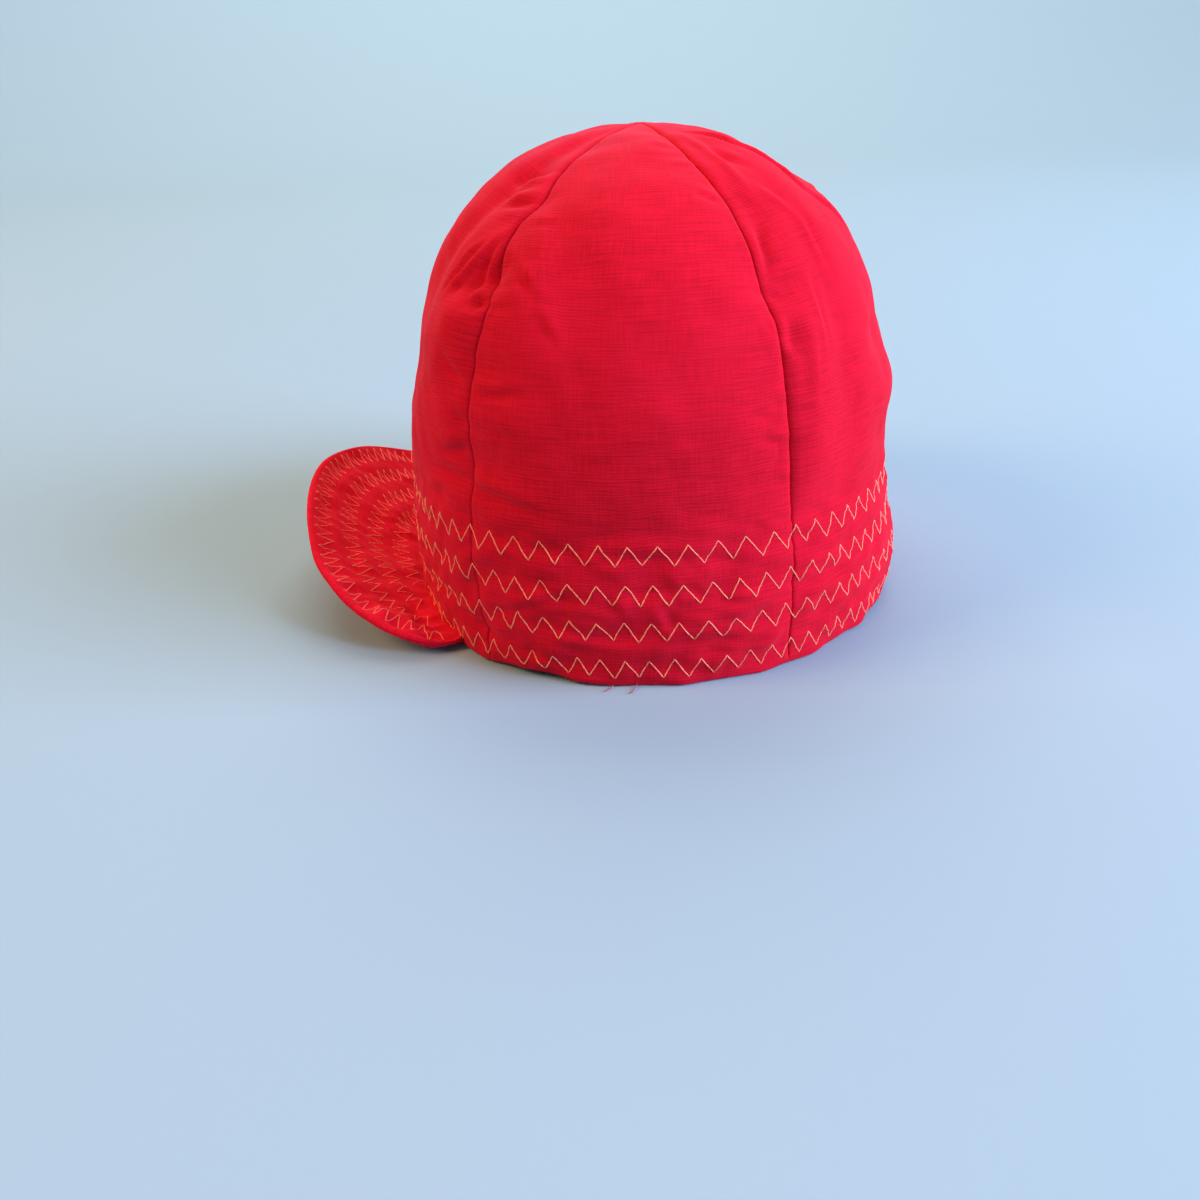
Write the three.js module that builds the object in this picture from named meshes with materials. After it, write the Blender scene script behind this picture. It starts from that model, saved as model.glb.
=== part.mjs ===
// A soft cotton welding cap: a deep round crown of six equal panels and a short bill.
//
// Millimetres, +Z up. The wearer's front and the bill point towards -Y and the wearer's
// left towards +X. The flat rim stands on z = 0 with the head opening underneath, and
// the origin is the bottom centre of the whole cap's box.

import * as THREE from 'three';

// Driving dimensions.

const headRound = 580;         // length of the cap's outline at the band
const planAspect = 0.83;       // front-to-back width over side-to-side width
const planSquareness = 2.2;    // 2 is an ellipse, more is squarer
const crownHeight = 152;       // rim to the point where the panels meet
const wallHeight = 20;         // upright part of the wall, before it curves in
const shoulderPower = 3.5;     // more keeps the wall upright for longer
const roofPower = 1.96;        // more makes the top flatter

const panelCount = 6;
const clothThickness = 1.6;
const hemThickness = 2.4;      // the turned-up hem that the stitch rows hold
const hemHeight = 50;
const hemFade = 12;            // height over which the hem thins to a single cloth
const panelGap = 0.35;         // between two panels, at the pressed seam

const hemSwell = 1.6;          // the quilted hem stands a little proud
const panelSwell = 1.8;        // each panel rounds out between its seams
const seamDepth = 1.1;         // the pressed seams lie in shallow grooves
const seamReach = 5;
const tipScale = 0.016;        // a panel ends at this share of its full width

const billLength = 55;         // root to edge at the middle
const billHalfWidth = 82;      // along the rim, each side of the front seam
const billEndPower = 1.65;     // outline of the bill's crescent
const billFrontPower = 1.68;
const billRise = 41;           // degrees above level at the middle
const billEndRise = 10;         // degrees above level at the two ends
const billCamber = 3;          // the turned-up bill is hollow along its length
const billThickness = 2.6;
const billRootHeight = 0;
const billGap = 0.45;          // clear of the crown's wall
const billEnd = 0.994;         // the crescent's tips are cut off here

// Places where the cloth sinks in or stands out. around: along the rim from the front
// seam, towards the wearer's left. height: above the rim. wide, tall: half sizes.
// lean: degrees from level. depth: inwards, or outwards where it is below zero.
const folds = [
  { around: 74, height: 140, wide: 16, tall: 8, lean: 20, depth: 2.6 },
  { around: 9, height: 143, wide: 20, tall: 6, lean: 0, depth: -1.6 },
  { around: 34, height: 87, wide: 26, tall: 19, lean: 0, depth: 3.9 },
  { around: 60, height: 127, wide: 18, tall: 6, lean: 50, depth: 1.8 },
  { around: 90, height: 116, wide: 12, tall: 4.5, lean: 12, depth: 3.4 },
  { around: 84, height: 105, wide: 14, tall: 7, lean: 25, depth: -2.0 },
  { around: 48, height: 112, wide: 15, tall: 9, lean: -10, depth: 2.4 },
  { around: 104, height: 92, wide: 16, tall: 6, lean: -8, depth: 2.0 },
  { around: 92, height: 64, wide: 20, tall: 7, lean: 10, depth: 2.2 },
  { around: 128, height: 112, wide: 10, tall: 24, lean: 18, depth: 1.4 },
  { around: 203, height: 130, wide: 12, tall: 6, lean: -20, depth: 1.9 },
  { around: 199, height: 112, wide: 11, tall: 5, lean: -8, depth: 2.0 },
  { around: 222, height: 104, wide: 7, tall: 26, lean: 6, depth: 1.7 },
  { around: 258, height: 90, wide: 14, tall: 7, lean: 5, depth: 2.6 },
  { around: 271, height: 72, wide: 24, tall: 9, lean: -6, depth: -2.6 },
  { around: 260, height: 12, wide: 30, tall: 20, lean: 0, depth: -4.4 },
  { around: 312, height: 141, wide: 40, tall: 10, lean: 0, depth: 4.0 },
  { around: 310, height: 118, wide: 18, tall: 8, lean: 24, depth: 2.4 },
  { around: 336, height: 84, wide: 16, tall: 7, lean: -12, depth: 2.0 },
  { around: 372, height: 124, wide: 14, tall: 7, lean: 30, depth: 2.2 },
  { around: 398, height: 96, wide: 9, tall: 22, lean: -8, depth: 1.6 },
  { around: 440, height: 112, wide: 16, tall: 8, lean: -22, depth: 2.4 },
  { around: 472, height: 72, wide: 18, tall: 7, lean: 12, depth: 2.0 },
  { around: 508, height: 126, wide: 15, tall: 7, lean: -34, depth: 2.2 },
  { around: 538, height: 104, wide: 14, tall: 8, lean: -14, depth: 2.4 },
];

const panelNames = [
  'panel_front_left', 'panel_side_left', 'panel_back_left',
  'panel_back_right', 'panel_side_right', 'panel_front_right',
];
const panelColumns = 12;       // facets across a panel
const panelRows = 20;          // facets up a panel
const billColumns = 24;
const billRows = 6;

const redCotton = new THREE.MeshStandardMaterial({
  color: 0xd01c2e, roughness: 0.9, metalness: 0,
});

// Small helpers.

const radians = THREE.MathUtils.degToRad;
const { lerp, smoothstep } = THREE.MathUtils;

// Where x falls in a rising column of a table: the row below it and the share past it.
function findRow(table, column, x) {
  let low = 0;
  let high = table.length - 1;
  while (high - low > 1) {
    const middle = (low + high) >> 1;
    if (table[middle][column] <= x) low = middle; else high = middle;
  }
  const share = (x - table[low][column]) / (table[high][column] - table[low][column]);
  return { below: table[low], above: table[high], share };
}

// The outline in plan, measured along its length from the front seam.

function makeOutline(steps = 1440) {
  const rows = [];
  for (let i = 0; i <= steps; i++) {
    const turn = (2 * Math.PI * i) / steps;
    const side = Math.sin(turn);
    const front = -Math.cos(turn);
    const power = planSquareness;
    const reach = (Math.abs(side) ** power + Math.abs(front) ** power) ** (-1 / power);
    rows.push({ x: side * reach, y: front * reach * planAspect, around: 0 });
  }
  for (let i = 1; i <= steps; i++) {
    const { x, y, around } = rows[i - 1];
    rows[i].around = around + Math.hypot(rows[i].x - x, rows[i].y - y);
  }
  const size = headRound / rows[steps].around;
  return rows.map((row) => ({ x: row.x * size, y: row.y * size, around: row.around * size }));
}
const outline = makeOutline();

function outlinePoint(around) {
  const place = THREE.MathUtils.euclideanModulo(around, headRound);
  const { below, above, share } = findRow(outline, 'around', place);
  return new THREE.Vector2(lerp(below.x, above.x, share), lerp(below.y, above.y, share));
}

// The crown's profile, measured along its length from the rim to the top.

function makeProfile(steps = 600) {
  const rows = [{ height: 0, scale: 1, up: 0 }, { height: wallHeight, scale: 1, up: 0 }];
  for (let i = 1; i <= steps; i++) {
    const turn = (Math.PI / 2) * (i / steps) ** 2;
    rows.push({
      height: wallHeight + (crownHeight - wallHeight) * Math.sin(turn) ** (2 / shoulderPower),
      scale: Math.max(Math.cos(turn), 0) ** (2 / roofPower),
      up: 0,
    });
  }
  const meanReach = headRound / (2 * Math.PI);
  for (let i = 1; i < rows.length; i++) {
    const below = rows[i - 1];
    rows[i].up = below.up + Math.hypot(
      rows[i].height - below.height, (rows[i].scale - below.scale) * meanReach);
  }
  return rows;
}
const profile = makeProfile();
const profileLength = profile.at(-1).up;
const tipUp = profile.find((row) => row.scale < tipScale).up;

function profilePoint(up) {
  const { below, above, share } = findRow(profile, 'up', Math.min(up, profileLength));
  return {
    height: lerp(below.height, above.height, share),
    scale: lerp(below.scale, above.scale, share),
  };
}

// The outer surface of the crown.

function smoothCrown(around, up) {
  const { height, scale } = profilePoint(up);
  const point = outlinePoint(around);
  return new THREE.Vector3(point.x * scale, point.y * scale, height);
}

function crownNormal(around, up) {
  const step = 0.5;
  const low = Math.max(up - step, 0);
  const high = Math.min(up + step, profileLength);
  const rise = smoothCrown(around, high).sub(smoothCrown(around, low));
  const along = smoothCrown(around + step, low).sub(smoothCrown(around - step, low));
  return along.cross(rise).normalize();
}

// How far the cloth sinks in at one fold.
function foldDepth(fold, around, height) {
  let across = around - fold.around;
  across -= headRound * Math.round(across / headRound);
  const tall = height - fold.height;
  const lean = radians(fold.lean);
  const along = (across * Math.cos(lean) + tall * Math.sin(lean)) / fold.wide;
  const over = (tall * Math.cos(lean) - across * Math.sin(lean)) / fold.tall;
  return fold.depth * Math.exp(-along * along - over * over);
}

// Outward relief of the cloth: swelling panels and hem, without the seam grooves.
function swell(around, height, scale) {
  const panelWidth = headRound / panelCount;
  const toSeam = Math.abs(around / panelWidth - Math.round(around / panelWidth)) * 2;
  const rounded = 1 - (1 - toSeam) ** 2;
  const upper = smoothstep(height, hemHeight - 15, hemHeight + 35);
  const band = Math.sin(Math.PI * Math.min(height / hemHeight, 1));
  return panelSwell * rounded * upper * smoothstep(scale, 0, 0.5) + hemSwell * band;
}

function relief(around, height, scale) {
  const panelWidth = headRound / panelCount;
  const toSeam = Math.abs(around / panelWidth - Math.round(around / panelWidth));
  const seamDistance = toSeam * panelWidth * scale;
  const groove = seamDepth * Math.exp(-((seamDistance / seamReach) ** 2));
  let sunk = groove * smoothstep(height, 0, 8);
  for (const fold of folds) sunk += foldDepth(fold, around, height);
  return swell(around, height, scale) - sunk * smoothstep(scale, 0, 0.3);
}

function crownPoint(around, up, inset) {
  const { height, scale } = profilePoint(up);
  const normal = crownNormal(around, up);
  if (up < wallHeight) normal.setZ(0).normalize();
  return smoothCrown(around, up).addScaledVector(normal, relief(around, height, scale) - inset);
}

// Closed solids from two skins.

// Joins an outer and an inner grid of points, [row][column], into one closed solid.
function solidBetween(outer, inner) {
  const rows = outer.length;
  const columns = outer[0].length;
  const positions = [];
  for (const skin of [outer, inner]) {
    for (const row of skin) for (const point of row) positions.push(point.x, point.y, point.z);
  }
  const index = [];
  const at = (skin, row, column) => skin * rows * columns + row * columns + column;
  const quad = (a, b, c, d) => index.push(a, b, c, a, c, d);
  for (let row = 0; row < rows - 1; row++) {
    for (let column = 0; column < columns - 1; column++) {
      quad(at(0, row, column), at(0, row, column + 1),
        at(0, row + 1, column + 1), at(0, row + 1, column));
      quad(at(1, row, column), at(1, row + 1, column),
        at(1, row + 1, column + 1), at(1, row, column + 1));
    }
    const last = columns - 1;
    quad(at(0, row, 0), at(0, row + 1, 0), at(1, row + 1, 0), at(1, row, 0));
    quad(at(0, row, last), at(1, row, last), at(1, row + 1, last), at(0, row + 1, last));
  }
  for (let column = 0; column < columns - 1; column++) {
    const top = rows - 1;
    quad(at(0, 0, column), at(1, 0, column), at(1, 0, column + 1), at(0, 0, column + 1));
    quad(at(0, top, column), at(0, top, column + 1), at(1, top, column + 1), at(1, top, column));
  }
  const geometry = new THREE.BufferGeometry();
  geometry.setAttribute('position', new THREE.Float32BufferAttribute(positions, 3));
  geometry.setIndex(index);
  geometry.computeVertexNormals();
  return geometry;
}

// The six panels.

function makePanel(number) {
  const width = headRound / panelCount;
  const outer = [];
  const inner = [];
  for (let row = 0; row <= panelRows; row++) {
    const up = tipUp * (row / panelRows);
    const { height, scale } = profilePoint(up);
    const thickness = lerp(
      hemThickness, clothThickness, smoothstep(height, hemHeight, hemHeight + hemFade));
    const margin = panelGap / 2 / scale;
    const outerRow = [];
    const innerRow = [];
    for (let column = 0; column <= panelColumns; column++) {
      const even = column / panelColumns;
      const towardsSeams = 0.5 - 0.5 * Math.cos(Math.PI * even);
      const share = lerp(even, towardsSeams, 0.6);
      const around = number * width + lerp(margin, width - margin, share);
      outerRow.push(crownPoint(around, up, 0));
      innerRow.push(crownPoint(around, up, thickness));
    }
    outer.push(outerRow);
    inner.push(innerRow);
  }
  return solidBetween(outer, inner);
}

// The bill, sewn to the rim over the two front panels.

function billPoint(across, out, lift) {
  const around = across * billHalfWidth;
  const root = outlinePoint(around);
  const step = 0.5;
  const along = outlinePoint(around + step).sub(outlinePoint(around - step)).normalize();
  const outward = new THREE.Vector2(along.y, -along.x);
  const crescent = (1 - Math.abs(across) ** billEndPower) ** (1 / billFrontPower);
  const rise = radians(lerp(billRise, billEndRise, across * across));
  const distance = billLength * crescent * out;
  const camber = billCamber * crescent * 4 * out * (1 - out);
  const clear = swell(around, 6, 1) + billGap;
  const reach = clear + distance * Math.cos(rise);
  return new THREE.Vector3(
    root.x + outward.x * reach,
    root.y + outward.y * reach,
    billRootHeight + distance * Math.sin(rise) - camber * Math.sin(rise)
      + lift * billThickness / Math.cos(rise));
}

function makeBill() {
  const top = [];
  const underside = [];
  for (let row = 0; row <= billRows; row++) {
    const topRow = [];
    const lowRow = [];
    for (let column = 0; column <= billColumns; column++) {
      const turn = Math.PI * (column / billColumns - 0.5);
      const across = billEnd * lerp(turn / (Math.PI / 2), Math.sin(turn), 0.5);
      topRow.push(billPoint(across, row / billRows, 1));
      lowRow.push(billPoint(across, row / billRows, 0));
    }
    top.push(topRow);
    underside.push(lowRow);
  }
  return solidBetween(underside, top);
}

// The cap.

const cap = new THREE.Group();
panelNames.forEach((name, number) => {
  const panel = new THREE.Mesh(makePanel(number), redCotton);
  panel.name = name;
  cap.add(panel);
});

const bill = new THREE.Mesh(makeBill(), redCotton);
bill.name = 'bill';
cap.add(bill);

// Stand the cap on z = 0 over the origin, at the middle of its whole plan.
const box = new THREE.Box3().setFromObject(cap);
const middle = box.getCenter(new THREE.Vector3());
cap.position.set(-middle.x, -middle.y, -box.min.z);

export default cap;
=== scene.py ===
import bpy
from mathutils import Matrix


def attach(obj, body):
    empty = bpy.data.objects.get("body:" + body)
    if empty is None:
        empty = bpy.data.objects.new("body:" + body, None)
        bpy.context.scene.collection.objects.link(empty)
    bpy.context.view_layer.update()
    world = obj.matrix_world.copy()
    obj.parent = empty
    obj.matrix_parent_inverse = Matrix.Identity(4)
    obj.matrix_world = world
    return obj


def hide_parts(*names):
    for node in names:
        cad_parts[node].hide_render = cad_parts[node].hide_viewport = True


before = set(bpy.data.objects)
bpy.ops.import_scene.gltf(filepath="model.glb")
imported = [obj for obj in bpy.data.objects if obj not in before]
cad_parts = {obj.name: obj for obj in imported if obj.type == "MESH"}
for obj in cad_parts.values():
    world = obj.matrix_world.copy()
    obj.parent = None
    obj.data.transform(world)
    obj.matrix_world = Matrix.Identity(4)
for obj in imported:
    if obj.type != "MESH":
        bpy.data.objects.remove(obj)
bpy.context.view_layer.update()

import math

import bpy
import numpy as np
from bpy.props import FloatProperty, FloatVectorProperty, IntProperty, PointerProperty
from mathutils import Matrix, Vector

# A soft welding cap of red plain-woven cotton: a deep round crown of six panels, a turned-up
# hem quilted with zigzag stitching, and a short turned-up bill. Up is +Z, the bill points to -Y
# and the wearer's left is +X. Shapes are worked out in millimetres and put in the mesh in metres.

bl_info = {
    "name": "Welding cap",
    "version": (1, 0, 0),
    "blender": (4, 5, 0),
    "location": "3D View > Sidebar > Cap",
    "description": "A soft cotton welding cap with a quilted hem and a short bill",
    "category": "Object",
}

MM = 0.001

# The shape of the cap, as in the solids.
HEAD_ROUND = 580           # length of the cap's outline at the band
PLAN_ASPECT = 0.83         # front-to-back width over side-to-side width
PLAN_SQUARENESS = 2.2
CROWN_HEIGHT = 152
WALL_HEIGHT = 20           # upright part of the wall
SHOULDER_POWER = 3.5
ROOF_POWER = 1.96
CROWN_CENTRE_Y = 19.39     # the bill makes the whole cap reach further forward
PANEL_COUNT = 6
PANEL_WIDTH = HEAD_ROUND / PANEL_COUNT
TIP_SCALE = 0.02           # the panels end here, under the knob where their seams meet
HEM_HEIGHT = 50
HEM_SWELL = 1.6
PANEL_SWELL = 1.8
SEAM_DEPTH = 0.45          # shallower than in the solids, with a sharp valley of its own
SEAM_REACH = 5
BILL_LENGTH = 55
BILL_HALF_WIDTH = 82
BILL_END_POWER = 1.65
BILL_FRONT_POWER = 1.68
BILL_RISE = 41
BILL_END_RISE = 10
BILL_CAMBER = 3
BILL_THICKNESS = 2.6
BILL_GAP = 0.45
BILL_END = 0.994           # the bill's cloth stops here, short of its very points
BILL_TUCK = 2              # its two layers run this far in under the crown
BILL_MESH_LENGTH = 236     # length along the bill that its points are spread over

# How the cloth is turned in, as radii of the turn's middle line.
SEAM_TURN = 0.6
SEAM_PRESS = 0.06          # the two turned edges press together by this much at a seam
RIM_TURN = 0.9
FLAP_END = 38              # the cloth turned in at the seams ends at this height, in the hem

# The side of the crown that the photograph shows, around the rim from the front seam.
SHOWN = (66, 225)

# The camera, fitted to the photograph: side and height in degrees and distance in millimetres
# from the middle of the crown, then how its view turns, pitches and rolls.
CAMERA_SIDE, CAMERA_ABOVE, CAMERA_AWAY = 94.0, 14.15, 398.3
CAMERA_TURN, CAMERA_PITCH, CAMERA_ROLL = 3.06, 26.34, -2.83
CAMERA_TARGET = (0, CROWN_CENTRE_Y, 75)
CAMERA_LENS, CAMERA_SENSOR = 33, 36

# The studio, in metres: the flat paper, its sweep up and the wall above, then each softbox's
# side and height in degrees seen from the cap, distance, size, share of power and colour.
FLOOR_RADIUS, SWEEP_RADIUS, WALL_STEP = 1.6, 1.8, 0.7
SWEEP_STEPS, WALL_STEPS = 16, 2
SOFTBOXES = [
    ("softbox_front", 20, 40, 2.2, 1.0, 1.05, "#ffd09a"),
    ("softbox_back", 167, 24, 2.2, 1.5, 4.5, "#b8cdff"),
    ("softbox_top", 110, 80, 2.2, 1.2, 0.12, "#ffffff"),
]
# One more hangs over the far side of the paper: its place, size and share of power.
BACKGROUND_LIGHT = ((-2.0, -0.3, 2.3), 2.4, 2.4)

# The large soft folds: around the rim from the front seam, height, half width, half height,
# lean in degrees and depth.
FOLDS = [
    (74, 140, 16, 8, 20, 2.6), (9, 143, 20, 6, 0, -1.6), (34, 87, 26, 19, 0, 3.9),
    (60, 127, 18, 6, 50, 1.8), (90, 116, 12, 4.5, 12, 3.4), (84, 105, 14, 7, 25, -2.0),
    (48, 112, 15, 9, -10, 2.4), (104, 92, 16, 6, -8, 2.0), (92, 64, 20, 7, 10, 2.2),
    (128, 112, 10, 24, 18, 1.4), (203, 130, 12, 6, -20, 1.9), (199, 112, 11, 5, -8, 2.0),
    (222, 104, 7, 26, 6, 1.7), (258, 90, 14, 7, 5, 2.6), (271, 72, 24, 9, -6, -2.6),
    (260, 12, 30, 20, 0, -4.4), (312, 141, 40, 10, 0, 4.0), (310, 118, 18, 8, 24, 2.4),
    (336, 84, 16, 7, -12, 2.0), (372, 124, 14, 7, 30, 2.2), (398, 96, 9, 22, -8, 1.6),
    (440, 112, 16, 8, -22, 2.4), (472, 72, 18, 7, 12, 2.0), (508, 126, 15, 7, -34, 2.2),
    (538, 104, 14, 8, -14, 2.4),
]

# The small creases and puckers that show: around, height, half length, lean in degrees, width
# and depth. A depth below zero is a ridge.
CREASES = [
    (80, 139.5, 8, 21, 2.2, -1.44), (86, 134.5, 6, 14, 1.9, 1.5), (90, 119, 10, 81, 1.8, -1.28),
    (87, 121.5, 5, 72, 1.5, 0.8), (92, 126, 3.5, 70, 1.8, 0.8), (91, 109.8, 4.8, 12, 2.0, 2.5),
    (102, 109.5, 4.5, 8, 1.6, 0.5), (80, 118, 8.5, 54, 1.0, 0.72), (84, 119, 6.5, 44, 1.0, 0.72),
    (77, 121, 5.5, 48, 1.0, 0.72), (73, 116, 6, 50, 1.0, 0.72), (76, 112.5, 2.5, 46, 1.6, 0.96),
    (109, 116, 6.5, -39, 1.3, 0.72), (120, 105, 5, -53, 1.3, 0.64), (100, 121, 4, -38, 1.2, 0.56),
    (109, 129.5, 4, -4, 1.3, 0.35), (84, 91, 6.5, -32, 2.0, 1.44), (104, 87, 8, 6, 1.6, 1.3),
    (90, 78, 4, -24, 1.8, 1.28), (86, 68.5, 5.5, 11, 1.8, 1.28), (84, 60, 9, -4, 2.0, 1.44),
    (101, 57.5, 9, -5, 2.2, 1.76), (114, 56, 6, -5, 1.8, 0.96), (74, 52, 5.5, 8, 1.8, 1.12),
    (107, 77, 3, -12, 1.5, 0.64), (170, 146.3, 4, 0, 1.8, 0.5), (180, 143.2, 5, 8, 1.8, -0.5),
    (183, 134.5, 4.5, -32, 1.6, 0.5), (200.5, 123, 6.2, 76, 2.4, 2.1),
    (205, 144, 16, -86, 1.6, -0.75), (213, 143, 7, -64, 1.6, 0.68),
    (218, 132, 6.5, -64, 1.3, -0.52), (224, 121, 10, -86, 1.4, -0.52),
    (215.5, 105, 9, 86, 1.3, 0.6), (206, 92, 12, 84, 1.8, -0.52), (198, 111, 2.5, -24, 1.3, 0.75),
    (192, 107, 2.5, 0, 1.3, 0.75), (192, 113, 2.5, 0, 1.2, 0.75), (200, 100, 4.5, 83, 3.2, 1.8),
    (197, 96, 3, -59, 1.4, -0.6), (192, 102.5, 2.5, -65, 1.5, 0.9), (192, 83, 3, -8, 1.5, 0.9),
    (189, 73, 5.2, -18, 1.3, 0.9), (184, 82, 2.5, 0, 1.3, 0.45), (192, 61, 2.5, -10, 1.4, 0.75),
    (184, 49.5, 3, -11, 1.3, 0.6), (192, 49.5, 3.5, -12, 1.3, 0.6), (206, 49.5, 4, -11, 1.3, 0.48),
    (112, 24, 12, 22, 1.8, 0.96), (94, 13, 7, -20, 2.0, 1.08), (174, 40, 6, -9, 1.3, 0.6),
    (178, 27, 4.5, -9, 1.3, 0.72), (175, 14.5, 5, -11, 1.3, 0.6), (134, 39.8, 3, -5, 1.3, 0.48),
    (156, 34, 4.5, -66, 1.6, 0.6), (163, 40, 3.6, -39, 1.4, 0.48), (165, 31, 3, -38, 1.4, 0.6),
    (154, 23, 4.7, -65, 1.6, -0.84), (171, 11, 5.5, -18, 1.5, 0.6), (127, 13, 9, -9, 1.8, 0.72),
    (141, 26.5, 4.7, -58, 1.5, 0.6), (202, 38, 6, 7, 1.5, 0.72), (204, 27, 6.4, 13, 1.6, 0.72),
    (74, 19.5, 9, 0, 2.0, 0.84), (231, 146.5, 9, -67, 0.9, 1.0), (243, 141.5, 6.5, -79, 0.9, 1.2),
    (247, 136.2, 5.5, -82, 0.9, 1.2), (259, 127, 12, -50, 0.9, 1.2),
]

# Where the rim lifts off the table: around, half width and height.
RIM_LIFTS = [(113, 16, 2.2), (250, 22, 1.4), (452, 18, 1.6)]

# How far each seam that shows wanders from its even place round the crown: height and distance.
SEAM_DRIFT = {
    1: [(0, 0), (25, -2.5), (48, -4.3), (97, -4.2), (104, -1.5), (110, -0.5), (117, -3.5),
        (127, -3.4), (130.5, -2.5), (134, 2), (137, 4), (141, 1.5), (146, 1), (151, 0)],
    2: [(0, 2.5), (60, 2.5), (100, 2), (112, 1.2), (120, 0), (133, 0.4), (138, -2), (143, -5),
        (148, -7), (151.5, -8)],
}

# The four rows of zigzag round the hem: height of the row's middle, zigzags all round, and
# where one of its upper points is. The rows were sewn by hand and eye, so none is the same.
HEM_ROWS = [(43.6, 71, 145.2), (31.4, 73, 144.1), (19.4, 74, 143.3), (6.5, 80, 143.0)]
BILL_ROWS = [4.9, 15.6, 26.3, 37.0]    # from the bill's outer edge
STITCH_STEPS = 3                       # points along each stitch


# Numbers and curves.

def smoothstep(value, low, high):
    share = np.clip((value - low) / (high - low), 0, 1)
    return share * share * (3 - 2 * share)


def mix(low, high, share):
    return low + (high - low) * share


def waves(points, length, seed, stretch=(1, 1, 1), count=36):
    """A smooth random field of the points, mostly between -1.5 and 1.5."""
    source = np.random.default_rng(seed)
    turns = source.normal(size=(count, 3)) * stretch * (2 * math.pi / length / math.sqrt(3))
    starts = source.uniform(0, 2 * math.pi, count)
    total = np.zeros(points.shape[:-1])
    for turn, start in zip(turns, starts):
        total += np.cos(points @ turn + start)
    return total * math.sqrt(2 / count)


def make_outline(steps=5760):
    turn = np.linspace(0, 2 * math.pi, steps + 1)
    side, front = np.sin(turn), -np.cos(turn)
    power = PLAN_SQUARENESS
    reach = (np.abs(side) ** power + np.abs(front) ** power) ** (-1 / power)
    x, y = side * reach, front * reach * PLAN_ASPECT
    around = np.concatenate([[0], np.cumsum(np.hypot(np.diff(x), np.diff(y)))])
    size = HEAD_ROUND / around[-1]
    return around * size, x * size, y * size


def make_profile(steps=2400):
    turn = math.pi / 2 * (np.arange(1, steps + 1) / steps) ** 2
    curve = WALL_HEIGHT + (CROWN_HEIGHT - WALL_HEIGHT) * np.sin(turn) ** (2 / SHOULDER_POWER)
    height = np.concatenate([[0, WALL_HEIGHT], curve])
    scale = np.concatenate([[1, 1], np.maximum(np.cos(turn), 0) ** (2 / ROOF_POWER)])
    reach = HEAD_ROUND / (2 * math.pi)
    up = np.concatenate([[0], np.cumsum(np.hypot(np.diff(height), np.diff(scale) * reach))])
    return up, height, scale


OUTLINE = make_outline()
PROFILE = make_profile()
TIP_UP = PROFILE[0][np.argmax(PROFILE[2] < TIP_SCALE)]


def plan_point(around):
    place = np.mod(around, HEAD_ROUND)
    return np.interp(place, OUTLINE[0], OUTLINE[1]), np.interp(place, OUTLINE[0], OUTLINE[2])


def height_and_scale(up):
    return np.interp(up, PROFILE[0], PROFILE[1]), np.interp(up, PROFILE[0], PROFILE[2])


def smooth_crown(around, up):
    x, y = plan_point(around)
    height, scale = height_and_scale(up)
    return np.stack([x * scale, y * scale, np.where(up < 0, up, height)], axis=-1)


def crown_normal(around, up):
    along = smooth_crown(around + 0.5, np.maximum(up, 0))
    along = along - smooth_crown(around - 0.5, np.maximum(up, 0))
    rise = smooth_crown(around, up + 0.5) - smooth_crown(around, np.maximum(up - 0.5, 0))
    normal = np.cross(along, rise)
    normal[..., 2] = np.where(up < WALL_HEIGHT, 0, normal[..., 2])
    return normal / np.linalg.norm(normal, axis=-1, keepdims=True)


# How far the crown's cloth stands out from the smooth crown.

def seam_distance(around, scale):
    share = around / PANEL_WIDTH
    return np.abs(share - np.rint(share)) * PANEL_WIDTH * scale


def crown_swell(around, height, scale):
    share = around / PANEL_WIDTH
    rounded = 1 - (1 - np.abs(share - np.rint(share)) * 2) ** 2
    upper = smoothstep(height, HEM_HEIGHT - 15, HEM_HEIGHT + 35)
    band = np.sin(math.pi * np.clip(height / HEM_HEIGHT, 0, 1))
    return PANEL_SWELL * rounded * upper * smoothstep(scale, 0, 0.5) + HEM_SWELL * band


def nearest(distance):
    """The shorter way round to a place."""
    return np.mod(distance + HEAD_ROUND / 2, HEAD_ROUND) - HEAD_ROUND / 2


def turned(across, tall, lean):
    """Distances along and over a line that leans by that many degrees."""
    turn = math.radians(lean)
    return (across * math.cos(turn) + tall * math.sin(turn),
            tall * math.cos(turn) - across * math.sin(turn))


def seam_drift(around, height):
    """How far the cloth has moved round with its seams, which don't lie quite evenly."""
    drift = np.zeros(np.shape(around))
    for number, rows in SEAM_DRIFT.items():
        bell = np.clip(1 - np.abs(nearest(around - number * PANEL_WIDTH)) / (PANEL_WIDTH / 2), 0, 1)
        levels, distances = zip(*rows)
        drift += smoothstep(bell, 0, 1) * np.interp(height, levels, distances)
    return drift


def large_folds(around, height):
    sunk = np.zeros(np.shape(around))
    for place, level, wide, tall, lean, depth in FOLDS:
        along, over = turned(nearest(around - place), height - level, lean)
        sunk += depth * np.exp(-(along / wide) ** 2 - (over / tall) ** 2)
    return sunk


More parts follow.
